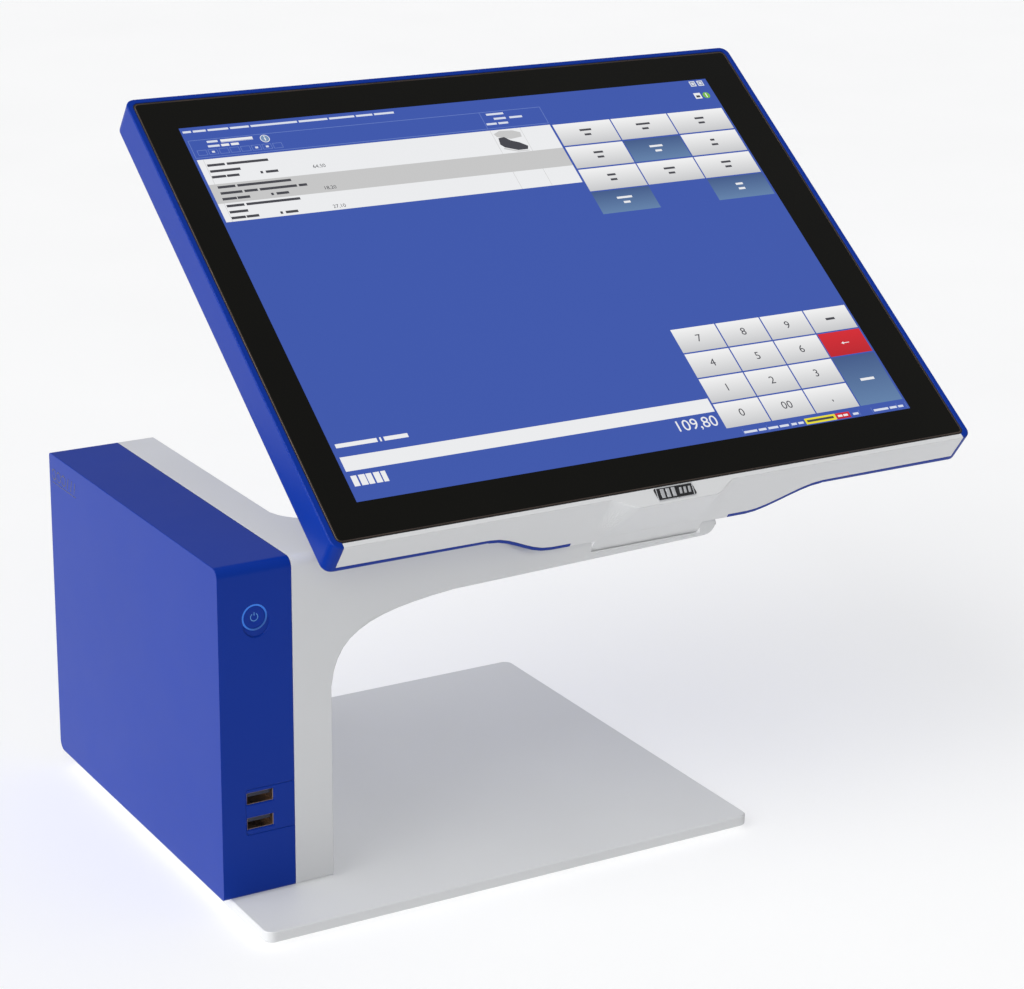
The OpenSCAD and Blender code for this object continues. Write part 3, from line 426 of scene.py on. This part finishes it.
rect(0.7, 9.8, 90.9, 28.4, WHITE)
rect(0.7, 17.3, 90.9, 23.0, GREY, 2)
for u in (2.15, 74.7, 82.7):
    rect(u, 9.8, u + 0.1, 28.4, GREY, 3)
ARTICLES = ((11.7, [4.2, 10.0], [7.3], "64,50"), (18.3, [4.2, 13.0], [5.2, 3.2, 9.0, 2.0], "18,20"),
            (23.9, [4.2, 13.0], [4.4], "27,10"))
for v, first, second, price in ARTICLES:
    words(2.5, v, first, TEXT, 0.72, 0.5, 4)
    words(2.5, v + 1.8, second, TEXT, 0.72, 0.5, 4)
    words(2.3, v + 3.5, [3.4, 3.0], TEXT, 0.72, 0.2, 4)
    words(14.0, v + 3.5, [0.6, 3.0], TEXT, 0.72, 0.7, 4)
    digits(price, 30.0, v + 3.45, 1.0, TEXT, "RIGHT", 4)
# a plain pair of shoes as the article's picture
poly([(75.4, 14.4), (76.2, 15.4), (79.2, 16.6), (81.8, 16.6), (82.3, 15.6), (80.6, 14.3), (78.6, 13.4), (77.4, 12.2),
      (75.8, 12.4)][::-1], TEXT, 4)
poly([(75.2, 11.0), (75.6, 12.0), (79.0, 13.0), (82.0, 12.6), (82.2, 11.2), (80.4, 10.4),
      (77.0, 10.2)][::-1], GREY, 3)
poly([(75.9, 15.5), (79.1, 16.8), (82.0, 16.9), (82.2, 17.1), (79.0, 17.1), (75.7, 15.9)][::-1], GREY, 5)

for u in (134.8, 137.0):
    rect(u, 0.45, u + 1.65, 2.2, SOFT, 2)
    outline(u + 0.3, 0.75, u + 1.35, 1.9, DARKBLUE, 3, 0.16)
rect(134.1, 4.4, 136.0, 6.3, WHITE, 2)
rect(134.5, 5.2, 135.6, 5.9, TEXT, 3)
disc(137.5, 5.4, 1.0, GREEN)
rect(137.35, 4.7, 137.65, 6.1, WHITE, 3)

kinds = [[KEY, KEY, KEY], [KEY, STEEL, KEY], [KEY, KEY, KEY], [STEEL, None, STEEL]]
wide = [[3.2, 3.9, 2.6], [2.6, 3.6, 1.2], [2.3, 3.1, 2.7], [4.1, 0, 2.0]]
for r, v in enumerate((10.0, 17.3, 24.6, 31.8)):
    for c, u in enumerate((91.5, 107.6, 123.7)):
        if kinds[r][c] is None:
            continue
        rect(u, v, u + 15.75, v + 6.85, kinds[r][c])
        on = WHITE if kinds[r][c] == STEEL else TEXT
        words(u + 7.9 - wide[r][c] / 2, v + 2.5, [wide[r][c]], on, 0.62)
        words(u + 7.9 - 0.9, v + 4.0, [1.8], on, 0.62)

KEYPAD = [["7", "8", "9"], ["4", "5", "6"], ["1", "2", "3"], ["0", "00", ","]]
for r, v in enumerate((74.0, 81.2, 88.4, 95.6)):
    for c, u in enumerate((91.5, 103.6, 115.7)):
        rect(u, v, u + 11.75, v + 6.8, KEY)
        digits(KEYPAD[r][c], u + 5.9, v + 3.35, 2.05, TEXT)
rect(127.8, 74.0, 139.5, 80.8, KEY)
words(132.4, 77.3, [2.5], TEXT, 0.65)
rect(127.8, 81.2, 139.5, 88.0, RED)
rect(133.0, 84.5, 134.8, 84.7, WHITE, 3)
poly([(132.6, 84.6), (133.3, 85.0), (133.3, 84.2)], WHITE, 3)
rect(127.8, 88.4, 139.5, 102.4, STEEL)
words(131.8, 95.4, [3.8], WHITE, 0.7)

words(1.1, 90.9, [9.6, 0.4, 5.6], WHITE, 1.05, 0.6)
rect(0.8, 93.8, 91.0, 97.5, WHITE)
for i, w in enumerate((1.3, 1.5, 1.3, 1.4, 1.1)):
    rect(1.2 + 1.7 * i, 98.7, 1.2 + 1.7 * i + w, 101.4, WHITE, 2)
digits("109,80", 90.4, 100.0, 2.9, WHITE, "RIGHT")

words(95.2, 104.2, [3.4, 2.0], SOFT, 0.6)
words(101.6, 104.2, [2.6, 2.4], SOFT, 0.6)
words(107.8, 104.2, [1.4, 1.4], SOFT, 0.6)
rect(111.6, 103.3, 119.9, 104.9, YELLOW, 2)
words(112.1, 104.1, [7.2], TEXT, 0.6, level=3)
rect(120.0, 103.3, 123.8, 104.9, RED, 2)
words(120.5, 104.1, [1.2, 1.2], WHITE, 0.55, 0.3, 3)
words(124.6, 104.2, [1.5], SOFT, 0.6)
words(130.4, 104.2, [4.0, 1.9, 1.4], SOFT, 0.6)
for u in (95.0, 101.4, 107.6, 126.4, 129.9, 136.9, 139.4):
    rect(u, 103.3, u + 0.1, 104.9, LINE, 2)
piece("screen_picture", pic, PICTURE, "head")

# ---------------------------------------------------------------- glass edge
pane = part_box("cover_glass")
half = (pane[1][0] - pane[0][0]) / 2 / MM
bm = bmesh.new()


def frame_ring(inset, lift, r, n=7):
    x, y0, y1 = half - inset, GLASS_Y0 + inset, GLASS_Y0 + GLASS_H - inset
    pts = []
    for cx, cy, a in ((-x + r, y0 + r, 180), (x - r, y0 + r, 270), (x - r, y1 - r, 0), (-x + r, y1 - r, 90)):
        pts += arc_points(cx, cy, r, a, a + 90, n)
    return [bm.verts.new(head(px, py, FACE_Z + lift)) for px, py in pts]


rings = [frame_ring(0.02, 0.005, 2.6), frame_ring(0.02, 0.06, 2.6), frame_ring(0.35, 0.09, 2.3),
         frame_ring(0.7, 0.05, 2.0), frame_ring(0.75, 0.005, 2.0)]
for a, b in zip(rings, rings[1:]):
    for i in range(len(a)):
        bm.faces.new((a[i], a[(i + 1) % len(a)], b[(i + 1) % len(b)], b[i]))
piece("glass_edge", bm, [edge_bronze], "head", True)

# ---------------------------------------------------------------- badge, side mark and power icon
bm = bmesh.new()


def on_badge(a, b, c):
    return head(a, -6.3 + b, 39.45 + c)


LEAN = 0.9
TALL, SHORT = (1.9, -4.2, 0.8), (1.3, -3.4, 0.0)          # width, bottom and top of a bar, mm
for x, (w, low, high) in ((-8.2, TALL), (-5.2, TALL), (-2.2, TALL), (1.9, SHORT), (4.3, SHORT), (6.7, SHORT)):
    slab(bm, [(x, low), (x + w, low), (x + w + LEAN, high), (x + LEAN, high)],
         on_badge, -0.05, 0.12, 0, 0.05)
edge = [(-10.6, -5.3), (9.0, -5.3), (10.4, 1.5), (-9.2, 1.5)]
for a, b in zip(edge, edge[1:] + edge[:1]):
    strip(bm, [a, b], 0.45, on_badge, -0.05, 0.12)
piece("badge_emblem", bm, [silver], "head")

bm = bmesh.new()


def on_side(a, b, c):
    """a runs from the back edge forwards, b up, c out of the module's left face."""
    return stand(-c, 194 - a, 142 + b)


for x in (0, 6.2, 12.4):
    strip(bm, arc_points(x + 2.6, 4.2, 2.5, 200, 520, 22), 0.75, on_side, -0.02, 0.03)
for i in range(3):
    strip(bm, [(19.6 + 4.4 * i, 1.2), (21.4 + 4.4 * i, 7.2)], 0.85, on_side, -0.02, 0.03)
strip(bm, [(0.2, 0.0), (30.6, 0.0)], 0.5, on_side, -0.02, 0.03)
piece("side_mark", bm, [mark_blue], "stand")

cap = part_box("power_button")
cap_c = ((cap[0][0] + cap[1][0]) / 2, cap[0][1], (cap[0][2] + cap[1][2]) / 2)


def on_cap(a, b, c):
    return Vector((cap_c[0] + a * MM, cap_c[1] + (0.26 - c) * MM, cap_c[2] + b * MM))


bm = bmesh.new()
strip(bm, arc_points(0, 0, 1.75, 122, 418, 30), 0.3, on_cap, -0.1, 0.1)
strip(bm, [(0, 0.75), (0, 2.35)], 0.3, on_cap, -0.1, 0.1)
piece("power_icon", bm, [icon_light], "button")

# ---------------------------------------------------------------- floor, light and camera
bm = bmesh.new()
CELLS, SIDE, WEST, SOUTH, SINK = 8, 18, -9, -6, -0.0003    # the floor's cells, size, corner and drop, m
verts = [[bm.verts.new((WEST + SIDE * i / CELLS, SOUTH + SIDE * j / CELLS, SINK)) for j in range(CELLS + 1)]
         for i in range(CELLS + 1)]
for i in range(CELLS):
    for j in range(CELLS):
        bm.faces.new((verts[i][j], verts[i + 1][j], verts[i + 1][j + 1], verts[i][j + 1]))
me = bpy.data.meshes.new("floor")
bm.to_mesh(me)
bm.free()
me.materials.append(finish_mat("paper_floor", (0.92, 0.92, 0.92), 0.75, 0.01, 700, 0.00003, 0.04, 2,
                               Specular_IOR_Level=0.2, Emission_Color=(1, 1, 1, 1), Emission_Strength=0.09))
floor = bpy.data.objects.new("floor", me)
bpy.context.scene.collection.objects.link(floor)


def sky(name, source, angle, strength, shadow=True):
    """A wide, soft source far away in the direction of source; a fill casts no shadow."""
    lamp = bpy.data.lights.new(name, "SUN")
    lamp.angle = math.radians(angle)
    lamp.energy = strength
    lamp.use_shadow = shadow
    obj = bpy.data.objects.new(name, lamp)
    obj.rotation_euler = Vector(source).to_track_quat("Z", "Y").to_euler()
    bpy.context.scene.collection.objects.link(obj)


FROM_LEFT = (-0.84, -0.1, 0.65)
SOFTNESS = 60                                   # degrees across the source
sky("key", FROM_LEFT, SOFTNESS, 0.9)
sky("fill", FROM_LEFT, SOFTNESS, 2.35, False)

world = bpy.data.worlds.new("studio")
world.use_nodes = True
world.node_tree.nodes["Background"].inputs["Color"].default_value = (0.97, 0.98, 1.0, 1)
world.node_tree.nodes["Background"].inputs["Strength"].default_value = 0.33
bpy.context.scene.world = world
bpy.context.scene.view_settings.view_transform = "Standard"

camera = bpy.data.objects.new("camera", bpy.data.cameras.new("camera"))
right = Vector((0.87220, -0.48914, 0.00224)).normalized()
back = -Vector((0.47046, 0.83763, -0.27755)).normalized()
up = back.cross(right).normalized()
right = up.cross(back)
turn = Matrix((right, up, back)).transposed().to_4x4()
camera.matrix_world = Matrix.Translation((-0.65076, -1.10522, 0.56093)) @ turn
camera.data.sensor_width = 36
camera.data.lens = 96.51
camera.data.shift_x = 0.0520
camera.data.shift_y = -0.0918
bpy.context.scene.collection.objects.link(camera)
bpy.context.scene.camera = camera
